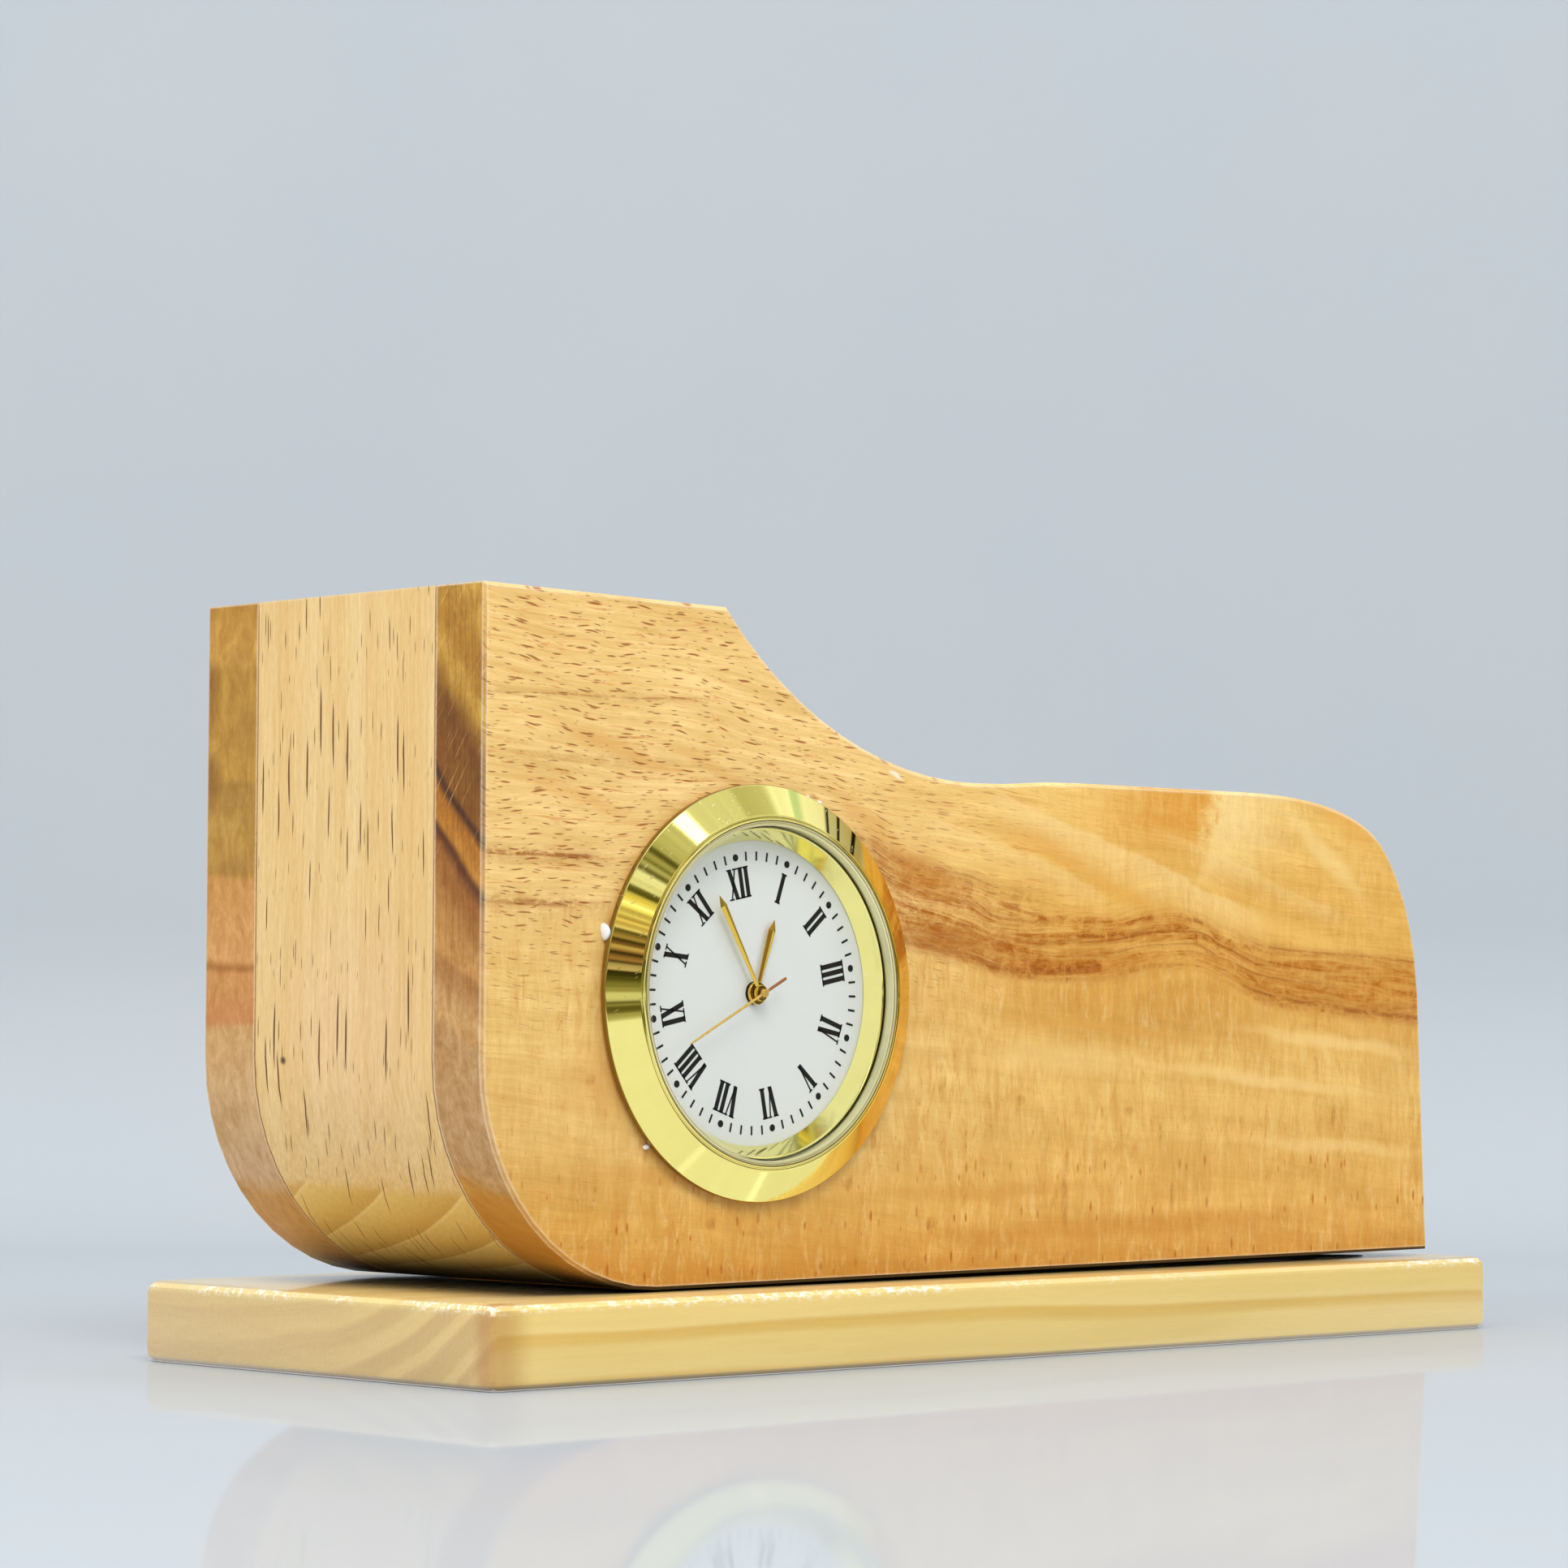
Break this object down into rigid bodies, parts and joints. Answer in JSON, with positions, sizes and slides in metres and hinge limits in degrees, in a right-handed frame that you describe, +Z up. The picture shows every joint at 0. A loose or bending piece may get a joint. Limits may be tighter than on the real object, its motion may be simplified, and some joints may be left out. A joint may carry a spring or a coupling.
{
  "type": "desk pen holder with clock",
  "caption": "Wooden desk holder on a base plate, with an open pen well, an open card well and a round quartz clock insert in its front board.",
  "frame": {"origin": "middle of the base plate's underside, on the desk", "axes": "+X along the holder towards its low end, +Y from the dial side to the back, +Z up"},
  "size_m": [0.178, 0.066, 0.0918],
  "materials": {
    "front_wood": "satin warm tan beech",
    "back_wood": "satin warm tan beech",
    "block_wood": "satin pale beech",
    "base_wood": "glossy clear varnish on pale pine",
    "gold": "polished pale gold plating",
    "lens_clear": "clear",
    "dial_white": "matt white",
    "white_plastic": "moulded white",
    "grey_plastic": "moulded dark grey",
    "brass": "machined",
    "steel": "bright",
    "copper": "enamelled copper winding",
    "board_green": "green solder resist",
    "cell_steel": "plated can",
    "contact_metal": "plated spring strip"
  },
  "bodies": {
    "holder": {"base_plate": "base_wood", "front_board": "front_wood", "back_board": "back_wood", "left_end_block": "block_wood", "middle_block": "block_wood", "right_end_block": "block_wood", "base_screw_1": "steel", "base_screw_2": "steel", "base_screw_3": "steel", "base_screw_4": "steel"},
    "insert": {"bezel": "gold", "lens": "lens_clear", "reflector_ring": "gold", "dial": "dial_white", "friction_band": "white_plastic", "movement_case": "white_plastic", "main_plate": "grey_plastic", "train_bridge": "grey_plastic", "bridge_screw_1": "steel", "bridge_screw_2": "steel", "bridge_screw_3": "steel", "stator": "steel", "coil": "copper", "circuit_board": "board_green", "quartz_crystal": "steel", "battery": "cell_steel", "negative_contact": "contact_metal", "positive_contact": "contact_metal"},
    "hatch": {"battery_hatch": "white_plastic"},
    "second_group": {"second_wheel": "steel", "second_hand": "gold"},
    "third_group": {"third_wheel": "brass"},
    "centre_group": {"centre_wheel": "brass"},
    "intermediate_group": {"intermediate_wheel": "brass"},
    "rotor_group": {"rotor": "steel"},
    "minute_group": {"cannon_pinion": "brass", "minute_hand": "gold"},
    "motion_group": {"minute_wheel": "brass"},
    "hour_group": {"hour_wheel": "brass", "hour_hand": "gold"},
    "knob_group": {"setting_knob": "white_plastic"}
  },
  "joints": [
    {"name": "insert_slide", "type": "slide", "parent": "holder", "child": "insert", "axis": [0, -1, 0], "range_m": [0, 0.014]},
    {"name": "hatch_turn", "type": "hinge", "parent": "insert", "child": "hatch", "pos_m": [-0.03742, -0.0156, 0.03272], "axis": [0, 1, 0], "range_deg": [0, 30]},
    {"name": "second_turn", "type": "hinge", "parent": "insert", "child": "second_group", "pos_m": [-0.04235, -0.0258, 0.045], "axis": [0, 1, 0], "continuous": true},
    {"name": "third_turn", "type": "hinge", "parent": "insert", "child": "third_group", "pos_m": [-0.0486, -0.0258, 0.04125], "axis": [0, 1, 0], "continuous": true},
    {"name": "centre_turn", "type": "hinge", "parent": "insert", "child": "centre_group", "pos_m": [-0.04235, -0.0258, 0.045], "axis": [0, 1, 0], "continuous": true},
    {"name": "intermediate_turn", "type": "hinge", "parent": "insert", "child": "intermediate_group", "pos_m": [-0.03605, -0.0258, 0.04879], "axis": [0, 1, 0], "continuous": true},
    {"name": "rotor_turn", "type": "hinge", "parent": "insert", "child": "rotor_group", "pos_m": [-0.03172, -0.0258, 0.04587], "axis": [0, 1, 0], "continuous": true},
    {"name": "minute_turn", "type": "hinge", "parent": "insert", "child": "minute_group", "pos_m": [-0.04235, -0.0258, 0.045], "axis": [0, 1, 0], "continuous": true},
    {"name": "motion_turn", "type": "hinge", "parent": "insert", "child": "motion_group", "pos_m": [-0.04342, -0.0258, 0.0505], "axis": [0, 1, 0], "continuous": true},
    {"name": "hour_turn", "type": "hinge", "parent": "insert", "child": "hour_group", "pos_m": [-0.04235, -0.0258, 0.045], "axis": [0, 1, 0], "continuous": true},
    {"name": "knob_turn", "type": "hinge", "parent": "insert", "child": "knob_group", "pos_m": [-0.0416, -0.0258, 0.05579], "axis": [0, 1, 0], "continuous": true}
  ],
  "couplings": [
    {"joint": "third_turn", "follows": "second_turn", "ratio": -0.125},
    {"joint": "centre_turn", "follows": "second_turn", "ratio": 0.016667},
    {"joint": "intermediate_turn", "follows": "second_turn", "ratio": -6},
    {"joint": "rotor_turn", "follows": "second_turn", "ratio": 30},
    {"joint": "motion_turn", "follows": "minute_turn", "ratio": -0.33333},
    {"joint": "hour_turn", "follows": "minute_turn", "ratio": 0.083333},
    {"joint": "knob_turn", "follows": "minute_turn", "ratio": 1}
  ]
}
